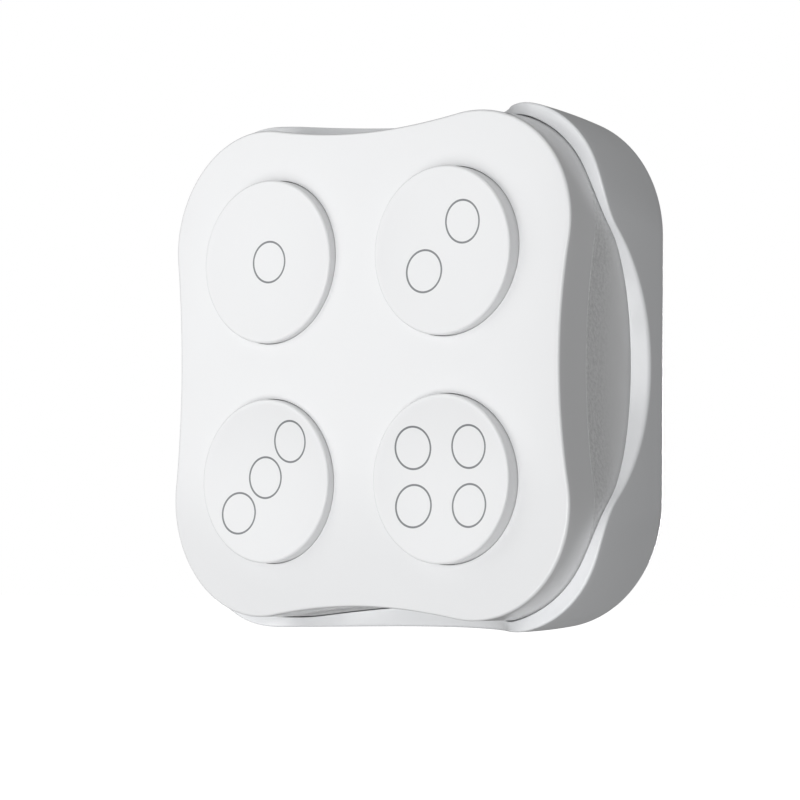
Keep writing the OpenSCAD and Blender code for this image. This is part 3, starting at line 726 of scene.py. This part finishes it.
def tint(tree, share, first, second):
    """A colour between two others, each a constant or a socket."""
    first, second = ((*c, 1) if isinstance(c, tuple) else c for c in (first, second))
    mix = add_node(tree, "ShaderNodeMix", settings={"data_type": "RGBA"}, Factor=share, A=first, B=second)
    return mix.outputs["Result"]


def bump(tree, height, depth, strength):
    """Normals of a surface with a relief of the given depth in millimetres."""
    relief = add_node(tree, "ShaderNodeBump", Height=height, Distance=depth * MM, Strength=strength)
    return relief.outputs["Normal"]


def moulded(name, first, second, rough, grain, depth, strength=GRAIN_STRENGTH, **sockets):
    """Moulded plastic or plain metal: slight drift of colour and gloss, and a fine grain."""
    material, tree, shader = new_material(name, **sockets)
    feed(
        tree, shader,
        Base_Color=tint(tree, noise(tree, DRIFT_SCALE, DRIFT_DETAIL), first, second),
        Roughness=spread(tree, noise(tree, GLOSS_SCALE, GLOSS_DETAIL), *rough),
        Normal=bump(tree, noise(tree, grain, GRAIN_DETAIL), depth, strength),
    )
    return material


def ring_mask(tree, centre, places):
    """1 on the lines of the count rings, 0 elsewhere."""
    split = add_node(tree, "ShaderNodeSeparateXYZ", own_place(tree))
    flat = add_node(tree, "ShaderNodeCombineXYZ", X=split.outputs["X"], Z=split.outputs["Z"])
    mask = None
    for dx, dy in places:
        middle = ((centre[0] + dx) * MM, 0, (centre[1] + dy) * MM)
        span = add_node(
            tree, "ShaderNodeVectorMath", flat.outputs["Vector"], middle, settings={"operation": "DISTANCE"})
        off = calculate(tree, "ABSOLUTE", calculate(tree, "SUBTRACT", span.outputs["Value"], RING_R * MM))
        line = remap(
            tree, off, {"interpolation_type": "SMOOTHSTEP"},
            From_Min=RING_FULL * RING_LINE * MM, From_Max=RING_END * RING_LINE * MM, To_Min=1, To_Max=0)
        mask = line if mask is None else calculate(tree, "MAXIMUM", mask, line)
    return mask


def button_material(number, centre):
    """White of the caps, with the count rings of one button."""
    material = moulded(f"cap_{number}", *CAP_FINISH, **GLOSSY_INPUTS)
    tree = material.node_tree
    shader = tree.nodes["Principled BSDF"]
    plain = shader.inputs["Base Color"].links[0].from_socket
    rings = ring_mask(tree, centre, RING_PLACES[number])
    feed(tree, shader, Base_Color=tint(tree, rings, plain, RING_GREY))
    return material


def spark_material():
    """White moulding with a spark-eroded grain that is strongest just behind the seam."""
    material, tree, shader = new_material("spark_white", Roughness=SPARK_ROUGHNESS)
    split = add_node(tree, "ShaderNodeSeparateXYZ", own_place(tree))
    band = remap(
        tree, split.outputs["Y"], {"interpolation_type": "SMOOTHSTEP"},
        From_Min=-(SEAM - SPARK_BAND) * MM, From_Max=-(SEAM - SPARK_FULL) * MM)
    grain = spread(tree, noise(tree, SPARK_SCALE, SPARK_DETAIL, SPARK_FINE), 0, 1)
    spark = calculate(tree, "MULTIPLY", grain, band)
    feed(
        tree, shader,
        Base_Color=tint(tree, spark, SPARK_WHITE, SPARK_SHADE),
        Normal=bump(tree, spark, SPARK_DEPTH, SPARK_STRENGTH),
    )
    return material


LOOKS = {"spark_white": spark_material()}
for finishes, inputs in ((GLOSSY, GLOSSY_INPUTS), (MATT, {}), (METALS, METAL_INPUTS)):
    LOOKS.update({name: moulded(name, *finish, **inputs) for name, finish in finishes.items()})


# Pieces

def build_block():
    """Front cover, carrier and rear shell."""
    cover = four_quadrants(*cover_quadrant())
    make_piece("cover", cover, "case", "gloss_white", "front_cover")
    carrier = ring_loft(carrier_path(), closed=False)
    make_piece("carrier", carrier, "case", "spark_white", "carrier_frame")
    shell = ring_loft(shell_path(), closed=True)
    make_piece("shell", shell, "case", "shell_white", "rear_shell")


def build_buttons():
    """The four caps, each with its own count rings."""
    for number in BUTTON_SIDES:
        name, node = f"cap_{number}", f"button_{number}"
        low, high = node_size(node)
        centre = ((low + high) / 2)[:2]
        LOOKS[name] = button_material(number, centre)
        cap = lathe(button_profile(), centre, CAP_STEPS)
        make_piece(name, cap, f"key_{number}", name, node)


def build_springs():
    """A drive spring in each button, and the return springs round the pillars."""
    for number in BUTTON_SIDES:
        node = f"drive_spring_{number}"
        low, high = node_size(node)
        reach = (high[0] - low[0]) / 2 - WIRE_R
        wire = coil(reach, DRIVE_TURNS, low[2], high[2], ((low + high) / 2)[:2])
        spring = make_piece(f"coil_{number}", wire, f"key_{number}", "steel", node)
        squash(spring)

    low, high = node_size("return_springs")
    pillar = high[0] - RETURN_REACH - WIRE_R
    places = ((pillar, 0), (0, pillar), (-pillar, 0), (0, -pillar))
    wires = joined([coil(RETURN_REACH, RETURN_TURNS, low[2], high[2], place) for place in places])
    springs = make_piece("return_coils", wires, "case", "steel", "return_springs")
    squash(springs)


def build_contacts():
    """A silicone dome under the leg of each button."""
    low, high = node_size("contact_domes")
    leg = HALF_PITCH + LEG_OFFSET
    profile = contact_dome_profile(low[2], high[2], high[0] - leg)
    for number, (side_x, side_y) in BUTTON_SIDES.items():
        shape = lathe(profile, (side_x * leg, side_y * leg), CONTACT_STEPS)
        contact = make_piece(f"contact_{number}", shape, "case", "silicone", "contact_domes")
        squash(contact)


def build_pads():
    """The two foam pads in the back."""
    low, high = node_size("adhesive_pads")
    for name, side in (("pad_upper", 1), ("pad_lower", -1)):
        near, far = low.copy(), high.copy()
        near[1], far[1] = sorted((side * (high[1] - PAD_H), side * high[1]))
        pad = make_piece(name, pad_shape(near, far), "case", "foam", "adhesive_pads")


def dress_nodes():
    """Gives their looks to the CAD nodes that show as they are."""
    for look, names in NODE_LOOKS.items():
        for name in names:
            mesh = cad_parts[name].data
            mesh.materials.clear()
            mesh.materials.append(LOOKS[look])


# Camera and studio

def add_camera():
    """The camera, at the photograph's view."""
    unit = HALF_PITCH * MM
    az, el, roll = (math.radians(v) for v in (VIEW_AZIMUTH, VIEW_ELEVATION, VIEW_ROLL))
    back = Vector((math.sin(az) * math.cos(el), -math.cos(az) * math.cos(el), math.sin(el)))
    right = Vector((math.cos(az), math.sin(az), 0))
    up = back.cross(right)
    place = (back * VIEW_DISTANCE + right * VIEW_RIGHT + up * VIEW_UP) * unit
    place = place + Vector((0, -CAP_FRONT * MM, 0))
    x_axis = right * math.cos(roll) + up * math.sin(roll)
    y_axis = up * math.cos(roll) - right * math.sin(roll)
    data = bpy.data.cameras.new("camera")
    data.lens = LENS
    data.sensor_width = SENSOR
    data.clip_start, data.clip_end = CLIP
    camera = bpy.data.objects.new("camera", data)
    turn = Matrix((x_axis, y_axis, back)).transposed().to_4x4()
    camera.matrix_world = Matrix.Translation(place) @ turn
    bpy.context.scene.collection.objects.link(camera)
    bpy.context.scene.camera = camera


def add_lights():
    """The soft boxes, all facing the middle of the cap rims."""
    target = Vector((0, -CAP_FRONT * MM, 0))
    for name, place, size, power in LIGHTS:
        data = bpy.data.lights.new(name, "AREA")
        data.shape = "SQUARE"
        data.size = size
        data.energy = power
        lamp = bpy.data.objects.new(name, data)
        lamp.location = place
        lamp.rotation_mode = "QUATERNION"
        lamp.rotation_quaternion = (target - Vector(place)).to_track_quat("-Z", "Y")
        lamp.visible_camera = False
        bpy.context.scene.collection.objects.link(lamp)


def add_floor():
    """A pale floor below the switch, which throws no light back."""
    material = new_material(
        "studio", Base_Color=FLOOR_GREY, Roughness=FLOOR_ROUGHNESS,
        Emission_Color=STUDIO_WHITE, Emission_Strength=1.0)[0]
    bpy.ops.mesh.primitive_plane_add(size=FLOOR_SIZE, location=(0, 0, FLOOR_LEVEL))
    ground = bpy.context.active_object
    ground.name = "floor"
    ground.data.materials.append(material)
    for flag in ("visible_diffuse", "visible_glossy", "visible_transmission", "visible_shadow"):
        setattr(ground, flag, False)


def add_world():
    """A studio that is white to look at and gives an even fill of light."""
    world = bpy.data.worlds.new("world")
    world.use_nodes = True
    tree = world.node_tree
    fill = feed(tree, tree.nodes["Background"], Color=STUDIO_WHITE, Strength=FILL).outputs["Background"]
    seen = add_node(tree, "ShaderNodeBackground", Color=STUDIO_WHITE).outputs["Background"]
    looked_at = add_node(tree, "ShaderNodeLightPath").outputs["Is Camera Ray"]
    mix = add_node(tree, "ShaderNodeMixShader", looked_at, fill, seen)
    feed(tree, tree.nodes["World Output"], Surface=mix.outputs["Shader"])
    bpy.context.scene.world = world


build_block()
build_buttons()
build_springs()
build_contacts()
build_pads()
dress_nodes()
add_camera()
add_floor()
add_lights()
add_world()
bpy.context.scene.view_settings.view_transform = "Standard"
